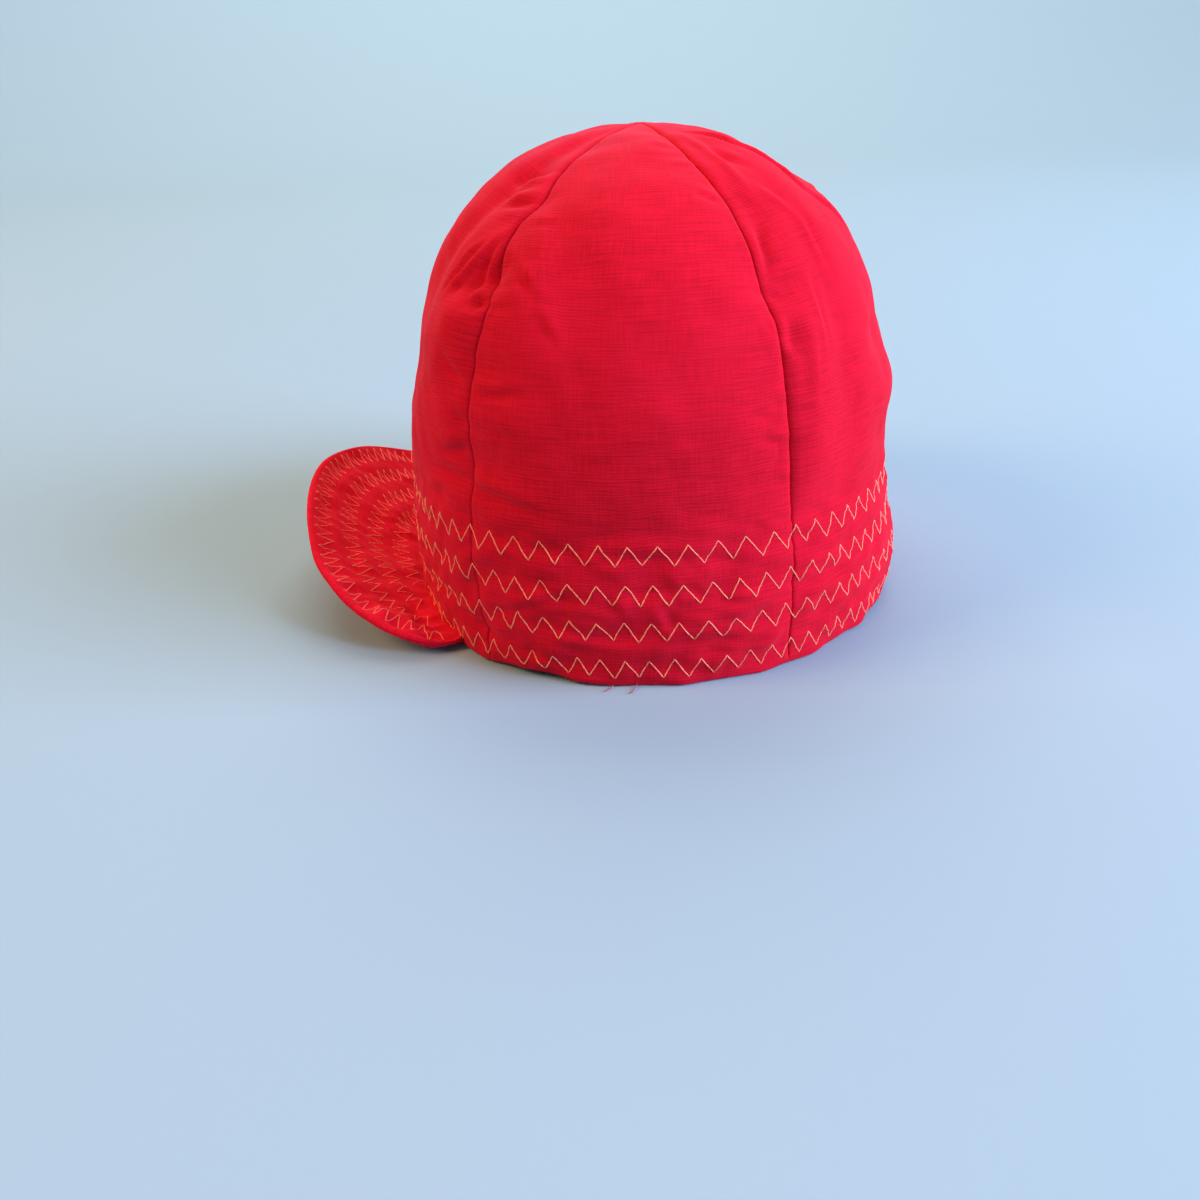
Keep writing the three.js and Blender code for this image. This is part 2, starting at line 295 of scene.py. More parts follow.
def scattered_creases(count, low, high, steep_share, seed):
    """Creases of the same kind for the rest of the crown, most of them beside the seams."""
    source = np.random.default_rng(seed)
    rows = []
    for _ in range(count):
        seam = source.integers(0, PANEL_COUNT) * PANEL_WIDTH
        place = seam + source.choice([-1, 1]) * abs(source.normal(3, 9))
        level = source.uniform(low, high)
        steep = source.random() < steep_share
        lean = source.normal(70, 14) if steep else source.normal(0, 14)
        half, width = source.uniform(3, 9), source.uniform(1.2, 2.2)
        shown = SHOWN[0] < np.mod(place, HEAD_ROUND) < SHOWN[1] and level > HEM_HEIGHT
        rows.append((place, level, half, lean, width,
                     source.uniform(0.3, 0.9) * (0.25 if shown else 1)))
    return rows


# The hem's are smaller, because its stitches hold it.
ALL_CREASES = CREASES + scattered_creases(76, 56, 146, 0.3, 7) + [
    (place, level, 0.6 * half, lean, 0.8 * width, 0.6 * depth)
    for place, level, half, lean, width, depth in scattered_creases(90, 4, 50, 0.2, 8)]


def small_creases(around, up, scale):
    """A crease is a narrow dip with a lower ridge beside it, where the cloth folds over."""
    raised = np.zeros(np.shape(around))
    for place, level, half, lean, width, depth in ALL_CREASES:
        tall = up - np.interp(level, PROFILE[1], PROFILE[0])
        along, over = turned(nearest(around - place) * scale, tall, lean)
        reach = np.exp(-(along / half) ** 2)
        dip = np.exp(-(over / width) ** 2)
        ridge = np.exp(-((over - 1.7 * width) / (1.2 * width)) ** 2)
        raised += depth * reach * (0.6 * ridge - dip)
    return raised


def hem_quilting(height):
    """The cloth is drawn in along each row of stitches and rises between the rows."""
    raised = np.full(np.shape(height), 0.15)
    for middle, _, _ in HEM_ROWS:
        raised -= 0.32 * np.exp(-((height - middle) / 3.4) ** 2)
    return raised * smoothstep(height, 0, 2.5) * (1 - smoothstep(height, 50, 54))


def crown_relief(around, drifted, up, points, strength):
    """Millimetres that the cloth's face stands out from the smooth crown at each point."""
    height, scale = height_and_scale(np.maximum(up, 0))
    seam = seam_distance(around, scale)
    free = smoothstep(scale, 0, 0.3)
    groove = SEAM_DEPTH * np.exp(-(seam / SEAM_REACH) ** 2) * smoothstep(height, 0, 8)
    raised = crown_swell(around, height, scale) - (groove + large_folds(drifted, height)) * free
    in_hem = 1 - smoothstep(height, 46, 56)
    above = 1 - in_hem
    beside_seam = np.exp(-(seam / 7) ** 2)
    # Slack and fine crumpling, then the creases, the puckers beside a seam and the quilted hem.
    fine = 0.34 * waves(points, 34, 11) * above * smoothstep(scale, 0, 0.4)
    fine += 0.12 * waves(points, 12, 12) * (0.5 * above + 0.5)
    fine += small_creases(drifted, np.maximum(up, 0), scale)
    fine += 0.14 * waves(points, 9, 13, (0.5, 0.5, 1.5)) * beside_seam * above
    fine += hem_quilting(height)
    fine += 0.34 * waves(points, 13, 14, (0.75, 0.75, 1.3)) * in_hem
    fine += 0.16 * waves(points, 6.5, 15, (0.7, 0.7, 1.4)) * in_hem
    # A seam's own layers keep it straight. The one left of the middle lies almost flat low down.
    fine *= 1 - 0.6 * np.exp(-(seam / 2.5) ** 2) * above
    flat = np.exp(-(nearest(around - PANEL_WIDTH) / 12) ** 2) * (1 - smoothstep(height, 112, 124))
    fine -= 0.7 * np.exp(-(seam / 1.2) ** 2) * above * (1 - 0.75 * flat)
    return raised + strength * fine * smoothstep(scale, 0.02, 0.2)


def rim_lift(around, height):
    """The rim rests on the table nearly all round, and lifts a little in three places."""
    lifted = sum(rise * np.exp(-(nearest(around - place) / wide) ** 2)
                 for place, wide, rise in RIM_LIFTS)
    return lifted * (1 - smoothstep(height, -1, 7))


def crown_points(around, up, depth, strength):
    """Points at a depth under the face of the crown's cloth, in millimetres."""
    around, up, depth = np.broadcast_arrays(
        np.asarray(around, float), np.asarray(up, float), np.asarray(depth, float))
    height, _ = height_and_scale(np.maximum(up, 0))
    drifted = around + seam_drift(around, height)
    smooth = smooth_crown(drifted, up)
    raised = crown_relief(around, drifted, up, smooth, strength)
    points = smooth + crown_normal(drifted, up) * (raised - depth)[..., None]
    points[..., 2] += rim_lift(drifted, height)
    return points + (0, CROWN_CENTRE_Y, 0)


# The bill. Across runs from -1 to 1 along the rim, and distance outwards from the rim.

def bill_reach(across):
    """Length of the bill outwards from the rim."""
    inside = np.maximum(1 - np.abs(across) ** BILL_END_POWER, 0)
    return BILL_LENGTH * inside ** (1 / BILL_FRONT_POWER)


def bill_plan_normal(around):
    x1, y1 = plan_point(around + 0.5)
    x0, y0 = plan_point(around - 0.5)
    length = np.hypot(x1 - x0, y1 - y0)
    return (y1 - y0) / length, -(x1 - x0) / length


def bill_points(across, distance, above, strength):
    """Points above (or, if negative, below) the bill's middle layer, in millimetres."""
    across, distance, above = np.broadcast_arrays(
        np.asarray(across, float), np.asarray(distance, float), np.asarray(above, float))
    around = across * BILL_HALF_WIDTH
    full = bill_reach(across)
    out = np.clip(distance / np.maximum(full, 0.1), 0, 1)
    rise = np.radians(mix(BILL_RISE, BILL_END_RISE, across ** 2))
    camber = BILL_CAMBER * full / BILL_LENGTH * 4 * out * (1 - out)
    x, y = plan_point(around)
    outward_x, outward_y = bill_plan_normal(around)
    clear = crown_swell(around, np.full(np.shape(around), 6.0), 1) + BILL_GAP
    middle = BILL_THICKNESS / 2 / np.cos(rise)
    flat = np.stack([x + outward_x * distance, y + outward_y * distance, 0 * x], axis=-1)
    edge = full - distance
    inner = smoothstep(edge, 0, 4)
    gathered = smoothstep(np.abs(across), 0.5, 0.85)
    shift = (0.30 + 0.55 * gathered) * waves(flat, 13, 21) * inner
    shift += (0.16 + 0.34 * gathered) * waves(flat, 7, 22) * inner
    shift += 0.5 * waves(flat, 46, 23) * smoothstep(distance, 6, 24)
    quilt = np.full(np.shape(edge), 0.30)
    for row in BILL_ROWS:
        quilt -= 0.62 * np.exp(-((edge - row) / 3.3) ** 2)
    quilt *= smoothstep(edge, 0.5, 4)
    above = above + strength * (shift + quilt * np.sign(above) * (np.abs(above) > 0.5))
    reach = clear + distance * np.cos(rise) - above * np.sin(rise)
    # The bill lies on the table at its ends, and lifts softly where it would go through it.
    lowest = (distance - camber) * np.sin(rise) + middle
    lowest = lowest + (strength * shift - BILL_THICKNESS / 2 - 0.45) * np.cos(rise)
    lift = 0.4 * np.logaddexp(0, (0.35 - lowest) / 0.4)
    lift = lift + 1.2 * smoothstep(np.abs(across), 0.72, 0.97)
    height = (distance - camber) * np.sin(rise) + middle + above * np.cos(rise) + lift
    return np.stack([x + outward_x * reach, y + outward_y * reach + CROWN_CENTRE_Y, height],
                    axis=-1)


# Work in Blender, by its own operators.

def read_points(piece):
    points = np.empty(len(piece.data.vertices) * 3)
    piece.data.vertices.foreach_get("co", points)
    return points.reshape(-1, 3)


def lay_points(piece, points, cloth_uv):
    """Moves each point of the mesh to its place, with a UV map in millimetres of cloth."""
    mesh = piece.data
    mesh.vertices.foreach_set("co", (points * MM).ravel())
    corner = np.empty(len(mesh.loops), int)
    mesh.loops.foreach_get("vertex_index", corner)
    mesh.uv_layers[0].uv.foreach_set("vector", cloth_uv[corner].ravel())
    mesh.update()


def add_grid(name, rows, columns):
    """Adds a flat grid, and gives it back with the row and column of each of its points."""
    bpy.ops.object.select_all(action="DESELECT")
    bpy.ops.mesh.primitive_grid_add(x_subdivisions=columns - 1, y_subdivisions=rows - 1, size=1)
    piece = bpy.context.object
    piece.name = piece.data.name = name
    flat = read_points(piece)
    row = np.rint((flat[:, 1] + 0.5) * (rows - 1)).astype(int)
    column = np.rint((flat[:, 0] + 0.5) * (columns - 1)).astype(int)
    return piece, row, column


def delete_points(piece, unwanted):
    """Deletes the points marked True, in edit mode."""
    bpy.ops.object.mode_set(mode="EDIT")
    bpy.ops.mesh.select_mode(type="VERT")
    bpy.ops.mesh.select_all(action="DESELECT")
    bpy.ops.object.mode_set(mode="OBJECT")
    piece.data.vertices.foreach_set("select", unwanted)
    bpy.ops.object.mode_set(mode="EDIT")
    bpy.ops.mesh.delete(type="VERT")
    bpy.ops.object.mode_set(mode="OBJECT")


def thicken(piece, thickness):
    """Gives the sheet its thickness, half to each side."""
    bpy.ops.object.modifier_add(type="SOLIDIFY")
    wall = piece.modifiers[-1]
    wall.thickness = thickness
    wall.offset = 0
    bpy.ops.object.modifier_apply(modifier=wall.name)
    bpy.ops.object.shade_smooth_by_angle(angle=math.radians(55))


def add_thread(name, paths, thickness, closed):
    """Adds thread along the paths, as one piece, from a curve with a round section."""
    bpy.ops.object.select_all(action="DESELECT")
    bpy.ops.curve.primitive_nurbs_path_add()
    piece = bpy.context.object
    piece.name = piece.data.name = name
    curve = piece.data
    curve.splines.clear()
    for path in paths:
        spline = curve.splines.new("POLY")
        spline.points.add(len(path) - 1)
        rows = np.column_stack([path * MM, np.ones(len(path))])
        spline.points.foreach_set("co", rows.ravel())
        spline.use_cyclic_u = closed
    curve.bevel_depth = thickness / 2
    curve.bevel_resolution = 1
    curve.use_fill_caps = not closed
    bpy.ops.object.convert(target="MESH")
    piece = bpy.context.object
    bpy.ops.object.shade_smooth()
    return piece


def finish_piece(piece, material, replaced=()):
    piece.data.materials.clear()
    piece.data.materials.append(material)
    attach(piece, "root")
    if replaced:
        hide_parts(*replaced)


# Materials.

def linear(hex_colour):
    """An sRGB hex colour as Blender's linear red, green and blue."""
    values = [int(hex_colour[i:i + 2], 16) / 255 for i in (1, 3, 5)]
    return tuple(v / 12.92 if v <= 0.04045 else ((v + 0.055) / 1.055) ** 2.4 for v in values)


def add_node(material, kind, inputs=None, **settings):
    """Adds a node with its settings. An input is a value, another node's output, or another
    node itself, for its first output."""
    tree = material.node_tree
    node = tree.nodes.new("ShaderNode" + kind)
    for key, value in settings.items():
        setattr(node, key, value)
    for key, value in (inputs or {}).items():
        socket = node.inputs[key]
        if isinstance(value, bpy.types.Node):
            value = value.outputs[0]
        if isinstance(value, bpy.types.NodeSocket):
            tree.links.new(value, socket)
        elif socket.type == "RGBA":
            socket.default_value = (*value, 1)
        else:
            socket.default_value = value
    return node


def new_material(name):
    material = bpy.data.materials.new(name)
    material.use_nodes = True
    material.node_tree.nodes.clear()
    return material


def set_surface(material, shader):
    add_node(material, "OutputMaterial", {"Surface": shader})


def woven_cotton(name, cloth, seed, strength=1):
    """Plain-woven cotton, piece-dyed and lightly pressed: matt, with fine level ribs of uneven
    weft thread crossed by fainter warp thread, a soft bloom of surface fibre at grazing angles,
    and slightly uneven dye. Real threads are about 0.4 mm apart, which is under a pixel of the
    picture, so the ribs are drawn 0.95 mm apart and the thick threads about as wide."""
    cotton = new_material(name)
    # A strength over 1 paints every dye lighter, as painted light.
    colour, light, dark = [tuple(min(value * strength, 1) for value in dye)
                           for dye in (cloth.colour, cloth.light, cloth.dark)]
    place = add_node(cotton, "UVMap", uv_map="UVMap")
    object_place = add_node(cotton, "TexCoord").outputs["Object"]
    # Weft slubs: thick and thin places, tens of millimetres long and about a millimetre high.
    weft_place = add_node(cotton, "Mapping", {
        "Vector": place, "Location": (seed, seed, 0), "Scale": (0.07, 1.9, 1)})
    slub = add_node(cotton, "TexNoise", {
        "Vector": weft_place, "Scale": 1.0, "Detail": 2.0, "Roughness": 0.65})
    # Warp slubs stand upright, and are finer.
    warp_place = add_node(cotton, "Mapping", {
        "Vector": place, "Location": (seed, 9.0, 0), "Scale": (2.1, 0.12, 1)})
    warp = add_node(cotton, "TexNoise", {
        "Vector": warp_place, "Scale": 1.0, "Detail": 2.0, "Roughness": 0.6})
    # The weft itself wanders a little, so that its ribs are never quite straight.
    wander = add_node(cotton, "TexNoise", {"Vector": place, "Scale": 0.05, "Detail": 2.0})
    split = add_node(cotton, "SeparateXYZ", {"Vector": place})
    shifted = add_node(cotton, "Math", {0: wander, 1: 6.0, 2: split.outputs["Y"]},
                       operation="MULTIPLY_ADD")
    weft_turn = add_node(cotton, "Math", {0: shifted, 1: 2 * math.pi / 0.95}, operation="MULTIPLY")
    ribs = add_node(cotton, "Math", {0: weft_turn}, operation="SINE")
    # The ribs show where the cloth is drawn tight, and hardly at all elsewhere.
    tight = add_node(cotton, "TexNoise", {"Vector": place, "Scale": 0.03, "Detail": 1.0})
    tight = add_node(cotton, "MapRange", {
        "Value": tight, "From Min": 0.35, "From Max": 0.65, "To Min": 0.25})
    ribs = add_node(cotton, "Math", {0: ribs, 1: tight}, operation="MULTIPLY")
    threads = add_node(cotton, "Math", {0: warp, 1: 2.0, 2: ribs}, operation="MULTIPLY_ADD")
    fuzz = add_node(cotton, "TexNoise", {"Vector": object_place, "Scale": 1100.0, "Detail": 2.0})
    relief = add_node(cotton, "Math", {0: slub, 1: 4.0, 2: threads}, operation="MULTIPLY_ADD")
    relief = add_node(cotton, "Math", {0: fuzz, 1: 1.6, 2: relief}, operation="MULTIPLY_ADD")
    bump = add_node(cotton, "Bump", {"Height": relief, "Strength": 1.0, "Distance": 0.000016})
    # Dye: thick threads take a little less, and broad places differ slightly. The troughs of the
    # ribs are painted a little darker too, as painted shade.
    cloudy = add_node(cotton, "TexNoise", {
        "Vector": object_place, "Scale": 26.0, "Detail": 3.0, "Roughness": 0.55})
    both = add_node(cotton, "Math", {0: warp, 1: 0.6, 2: slub}, operation="MULTIPLY_ADD")
    both = add_node(cotton, "Math", {0: ribs, 1: 0.07, 2: both}, operation="MULTIPLY_ADD")
    thread_tone_and_rib_shade = add_node(cotton, "MapRange", {
        "Value": both, "From Min": 0.6, "From Max": 0.96, "To Min": -0.1, "To Max": 1.1})
    cloth = add_node(cotton, "MixRGB", {0: thread_tone_and_rib_shade, 1: dark, 2: colour})
    cloud_tone = add_node(cotton, "MapRange", {
        "Value": cloudy, "From Min": 0.38, "From Max": 0.72, "To Max": 0.45})
    cloth = add_node(cotton, "MixRGB", {0: cloud_tone, 1: cloth, 2: light})
    rough = add_node(cotton, "MapRange", {"Value": slub, "To Min": 0.78, "To Max": 0.95})
    shader = add_node(cotton, "BsdfPrincipled", {
        "Base Color": cloth, "Roughness": rough, "IOR": 1.5, "Normal": bump,
        "Specular IOR Level": 0.03, "Sheen Weight": 0.10, "Sheen Roughness": 0.4,
        "Sheen Tint": linear("#ffc0d0")})
    set_surface(cotton, shader)
    return cotton


def sewing_thread(name, colour, shade):
    """Spun cotton sewing thread: two twisted plies, which catch the light as small bright and dull
    lengths under half a millimetre long. The dull lengths are painted in the deeper shade colour,
    as painted shade, besides the bump."""
    thread = new_material(name)
    place = add_node(thread, "TexCoord").outputs["Object"]
    twist = add_node(thread, "TexNoise", {"Vector": place, "Scale": 1900.0, "Detail": 1.0})
    # The shade colour stands for the shaded lengths of the twist: painted shade.
    tone = add_node(thread, "MapRange", {"Value": twist, "From Min": 0.36, "From Max": 0.66})
    colour = add_node(thread, "MixRGB", {0: tone, 1: shade, 2: colour})
    bump = add_node(thread, "Bump", {"Height": twist, "Strength": 0.6, "Distance": 0.0001})
    shader = add_node(thread, "BsdfPrincipled", {
        "Base Color": colour, "Roughness": 0.62, "IOR": 1.5, "Normal": bump,
        "Sheen Weight": 0.2, "Sheen Roughness": 0.5})
    set_surface(thread, shader)
    return thread


def studio_paper(name, colour):
    """Matt background paper, as photographers roll out: even, with a faint tooth."""
    paper = new_material(name)
    place = add_node(paper, "TexCoord").outputs["Object"]
    tooth = add_node(paper, "TexNoise", {"Vector": place, "Scale": 300.0, "Detail": 3.0})
    bump = add_node(paper, "Bump", {"Height": tooth, "Strength": 0.15, "Distance": 0.0002})
    shader = add_node(paper, "BsdfPrincipled", {
        "Base Color": colour, "Roughness": 0.85, "IOR": 1.45, "Specular IOR Level": 0.2,
        "Normal": bump})
    set_surface(paper, shader)
    return paper


# Settings that a user would change.

def colour_setting(name, description, colour):
    return FloatVectorProperty(name=name, description=description, subtype="COLOR", size=3,
                               min=0, max=1, default=linear(colour))


def length_setting(name, description, default, low, high):
    return FloatProperty(name=name, description=description, unit="LENGTH", precision=5,
                         min=low, max=high, default=default)


class CapCloth(bpy.types.PropertyGroup):
    colour: colour_setting("Cloth colour", "Colour of the dyed cotton", "#d61026")
    light: colour_setting("Pale dye", "Colour where the cloth took less dye", "#df152d")
    # The deep dye also goes a little into the troughs of the ribs, as painted shade.
    dark: colour_setting("Deep dye", "Colour in the thin places of the weave", "#bb0c1e")
    # The bill's cloth is painted this much lighter than the crown's, as painted light for the
    # stronger light that falls on the bill.
    bill_painted_light: FloatProperty(
        name="Bill painted light", description="How much lighter the bill's cloth is painted, as painted light, 1 as in the crown",
        min=0.5, max=1.2, default=1.13)
    thickness: length_setting(
        "Cloth thickness", "Thickness of one layer of cloth", 0.0007, 0.0003, 0.0012)
    spacing: length_setting(
        "Mesh spacing", "Distance between the points of the cloth's mesh", 0.0012, 0.001, 0.006)
    seam_allowance: length_setting(
        "Seam allowance", "Width of cloth turned in at each seam", 0.007, 0.002, 0.012)
    creasing: FloatProperty(
        name="Creasing", description="Depth of the small creases and puckers, 1 as in use",
        min=0, max=1.5, default=1.0, subtype="FACTOR")


class CapStitches(bpy.types.PropertyGroup):
    colour: colour_setting("Thread colour", "Colour of the zigzag stitching", "#ff9468")
    # The thread shade is painted shade for the dull lengths of the twist.
    shade: colour_setting("Thread shade", "Colour in the twist of the thread", "#f07048")
    # The bill's thread is painted deeper than the hem's, as painted light for the warmer light on
    # the bill.
    bill_painted_light_colour: colour_setting(
        "Bill thread colour", "Colour of the zigzag on the bill, a little deeper", "#ff7048")
    bill_painted_light_shade: colour_setting(
        "Bill thread shade", "Colour in the twist of the bill's thread", "#f04c30")
    thickness: length_setting(
        "Thread thickness", "Diameter of the sewing thread", 0.0004, 0.0002, 0.001)
    height: length_setting(
        "Zigzag height", "Distance between the upper and lower points", 0.0062, 0.002, 0.009)
    bill_height: length_setting(
        "Bill zigzag height", "Width of the zigzag on the bill", 0.0066, 0.002, 0.009)
    bill_pitch: length_setting(
        "Bill zigzag pitch", "Length of one zigzag on the bill", 0.0047, 0.002, 0.01)
    stitches: IntProperty(
        name="Stitches a leg", description="Straight stitches in each leg of the zigzag",
        min=1, max=5, default=3)


class CapStage(bpy.types.PropertyGroup):
    floor_colour: colour_setting("Floor colour", "Colour of the background paper", "#95a7ab")
    sky_colour: colour_setting("Fill light colour", "Colour of the light all round", "#dfe9f4")
    fill: FloatProperty(
        name="Fill light", description="Strength of the light from all round",
        min=0, max=3, default=0.25)
    key: FloatProperty(
        name="Softbox power", description="Power that the softboxes' shares are of",
        min=0, max=500, default=32.0, unit="POWER")


# The pieces.

def even_places(low, high, spacing):
    return np.linspace(low, high, max(2, int(round((high - low) / spacing)) + 1))


def make_panel(name, number, cloth):
    """One panel as a single sheet: it turns in at both seams, and up inside at the rim."""
    spacing, thick = cloth.spacing / MM, cloth.thickness / MM
    allowance = cloth.seam_allowance / MM
    face = thick / 2
    # Rows from the hem's inner edge, down inside, round the rim and up the outside to the tip.
    rim_steps = 7
    turn = np.linspace(math.pi, 0, rim_steps + 1)[1:-1]
    low = RIM_TURN + face
    inside_up = even_places(low, HEM_HEIGHT, spacing)[::-1]
    outside_up = even_places(low, TIP_UP, spacing)
    up = np.concatenate([inside_up, low - RIM_TURN * np.sin(turn), outside_up])
    depth = np.concatenate([np.full(len(inside_up), face + 2 * RIM_TURN),
                            face + RIM_TURN - RIM_TURN * np.cos(turn),
                            np.full(len(outside_up), face)])
    cloth_v = np.concatenate([2 * low - inside_up - math.pi * RIM_TURN,
                              low - RIM_TURN * turn, outside_up])
    outside = np.arange(len(up)) >= len(inside_up) + len(turn)
    # Columns: turned-in cloth, the turn itself, the panel's face, then the same mirrored.
    steps = 5
    flap = max(2, int(round(allowance / spacing)))
    middle = int(round(PANEL_WIDTH / spacing))
    _, scale = height_and_scale(np.maximum(up, 0))
    width = PANEL_WIDTH * scale
    clear = np.minimum(SEAM_TURN + face - SEAM_PRESS, width * 0.2)
    curl = (smoothstep(up, 1.5, 7) * outside)[:, None]
    bend = np.linspace(math.pi, 0, steps + 1)[:-1]
    share = np.linspace(0, 1, middle + 1)
    face_s = clear[:, None] + (width - 2 * clear)[:, None] * share
    flap_s = np.minimum(allowance, 0.4 * width)[:, None] * np.linspace(1, 0, flap + 1)[:-1]
    curled_s = clear[:, None] - SEAM_TURN * np.sin(bend)
    flat_s = clear[:, None] * (1 - bend / math.pi)
    turn_s = mix(flat_s, curled_s, curl)
    turn_d = curl * (SEAM_TURN - SEAM_TURN * np.cos(bend))
    left_s = np.concatenate([clear[:, None] + flap_s, turn_s], axis=1)
    left_d = np.concatenate([np.full(flap_s.shape, 2 * SEAM_TURN), turn_d], axis=1)
    left_u = np.concatenate([-flap_s - math.pi * SEAM_TURN, -SEAM_TURN * bend + 0 * turn_s],
                            axis=1) + clear[:, None]
    across = np.concatenate([left_s, face_s, width[:, None] - left_s[:, ::-1]], axis=1)
    sunk = np.concatenate([left_d, 0 * face_s, left_d[:, ::-1]], axis=1)
    cloth_u = np.concatenate([left_u, face_s, width[:, None] - left_u[:, ::-1]], axis=1)
    cloth_u = cloth_u - width[:, None] / 2 + 210 * (number + 1)
    around = number * PANEL_WIDTH + across / scale[:, None]
    rows, columns = across.shape
    points = crown_points(around, up[:, None], depth[:, None] + sunk, cloth.creasing)
    piece, row, column = add_grid(name, rows, columns)
    uv = np.stack([cloth_u, np.broadcast_to(cloth_v[:, None], cloth_u.shape)], axis=-1)
    lay_points(piece, points[row, column], uv[row, column])
    hidden = (up < FLAP_END) | ~outside
    at_flap = (column < flap) | (column >= columns - flap)
    delete_points(piece, hidden[row] & at_flap)
    thicken(piece, cloth.thickness)
    return piece


def zigzag_legs(starts, ends, settings):
    """Points along each leg, how many stitches lie before each of them, and how far the thread
    stands off the cloth there: it arches a little over each stitch and dips at its ends."""
    at = np.arange(settings.stitches * STITCH_STEPS) / STITCH_STEPS
    path = mix(starts[:, None, :], ends[:, None, :], (at / settings.stitches)[None, :, None])
    lift = settings.thickness / MM * (0.4 * np.abs(np.sin(math.pi * at)) ** 0.7 - 0.24)
    return path, at, np.tile(lift, len(starts))


def hem_row(count, first_peak, middle, settings, seed):
    """A row of zigzag all round the hem, as (around, height) and lift. The falling legs are a
    little longer than the rising ones."""
    height = settings.height / MM
    source = np.random.default_rng(seed)
    pitch = HEAD_ROUND / count
    peaks = first_peak + pitch * np.arange(count) + source.normal(0, 0.16, count)
    peak_up = middle + height / 2 + source.normal(0, 0.14, count)
    troughs = peaks + pitch * 0.55 + source.normal(0, 0.18, count)
    trough_up = middle - height / 2 + source.normal(0, 0.14, count)
    corners = np.stack([np.stack([peaks, peak_up], 1), np.stack([troughs, trough_up], 1)], 1)
    corners = corners.reshape(-1, 2)
    following = np.roll(corners, -1, axis=0)
    following[-1, 0] += HEAD_ROUND
    path, at, lift = zigzag_legs(corners, following, settings)
    # A stitch seldom lies exactly in line with the next one.
    stray = source.normal(0, 0.09, (len(corners), settings.stitches + 1))
    stray[:, 0] = stray[:, -1] = 0
    bend = np.array([np.interp(at, np.arange(settings.stitches + 1), row) for row in stray])
    across = following - corners
    across = across / np.linalg.norm(across, axis=1, keepdims=True)
    path[..., 0] += bend * across[:, None, 1]
    path[..., 1] -= bend * across[:, None, 0]
    return path.reshape(-1, 2), lift


def bill_row(distance, settings, seed):
    """A row of zigzag at that distance from the bill's edge, as (across, distance) and lift."""
    source = np.random.default_rng(seed)
    across = np.sin(np.linspace(-1, 1, 1201) * math.asin(BILL_END))
    edge = np.stack([across * BILL_HALF_WIDTH, bill_reach(across)], 1)
    way = np.gradient(edge, axis=0)
    way /= np.linalg.norm(way, axis=1, keepdims=True)
    inwards = np.stack([way[:, 1], -way[:, 0]], 1)
    line = edge + inwards * distance
    margin = settings.bill_height / MM / 2 + 0.5
    line = line[line[:, 1] > margin]
    line = line[np.concatenate([[True], np.diff(line[:, 0]) > 0.01])]
    laid = bill_points(line[:, 0] / BILL_HALF_WIDTH, line[:, 1], 0, 0)
    length = np.concatenate([[0], np.cumsum(np.linalg.norm(np.diff(laid, axis=0), axis=1))])
    count = int(round(length[-1] / (settings.bill_pitch / MM)))
    stops = np.linspace(0, length[-1], 2 * count + 1)
    stops[1:-1] += source.normal(0, 0.16, len(stops) - 2)
    base = np.stack([np.interp(stops, length, line[:, i]) for i in (0, 1)], 1)
    way = np.gradient(base, axis=0)
    way /= np.linalg.norm(way, axis=1, keepdims=True)
    side = np.where(np.arange(len(base)) % 2 == 0, 0.5, -0.5) * settings.bill_height / MM
    side = side + source.normal(0, 0.14, len(base))
    corners = base + np.stack([-way[:, 1], way[:, 0]], 1) * side[:, None]
    path, _, lift = zigzag_legs(corners[:-1], corners[1:], settings)
    return np.concatenate([path.reshape(-1, 2), corners[-1:]]), np.append(lift, lift[0])


class CAP_OT_crown(bpy.types.Operator):
    """Makes the six crown panels, each turned in at its seams and up inside at the rim"""
    bl_idname = "cap.crown"
    bl_label = "Crown panels"

    def execute(self, context):
        cloth = context.scene.cap_cloth
        names = ["panel_front_left", "panel_side_left", "panel_back_left",
                 "panel_back_right", "panel_side_right", "panel_front_right"]
        for number, node in enumerate(names):
            side = node.removeprefix("panel_").replace("_", " ")
            cotton = woven_cotton(f"Plain-woven red cotton, {side}", cloth, 3.7 * number)
            piece = make_panel("cloth_" + node, number, cloth)
            finish_piece(piece, cotton, [node])
        return {"FINISHED"}


class CAP_OT_apex(bpy.types.Operator):
    """Makes the small knob of gathered cloth where the six seams meet"""
    bl_idname = "cap.apex"
    bl_label = "Apex knob"

    def execute(self, context):
        cloth = context.scene.cap_cloth
        bpy.ops.object.select_all(action="DESELECT")
        bpy.ops.mesh.primitive_uv_sphere_add(segments=48, ring_count=20, radius=1)
        piece = bpy.context.object
        piece.name = piece.data.name = "apex_knob"
        flat = read_points(piece)
        turn = np.arctan2(flat[:, 0], -flat[:, 1])
        round_out = np.hypot(flat[:, 0], flat[:, 1])
        lobes = 1 + 0.09 * np.cos(6 * turn - math.pi) * round_out ** 2
        top = smooth_crown(np.zeros(1), np.full(1, TIP_UP))[0, 2]
        # It is 2.9 mm out to the sides and 2.6 to the front, with a lobe for each panel.
        points = np.stack([flat[:, 0] * 2.9 * lobes, flat[:, 1] * 2.6 * lobes + CROWN_CENTRE_Y,
                           top - 0.35 + flat[:, 2] * np.where(flat[:, 2] > 0, 0.75, 1.1)
                           * (1 + 0.12 * np.cos(6 * turn - math.pi) * round_out)], 1)
        lay_points(piece, points, points[:, :2])
        bpy.ops.object.shade_smooth()
        cotton = woven_cotton("Plain-woven red cotton, knob", cloth, 31.0)
        finish_piece(piece, cotton)
        return {"FINISHED"}


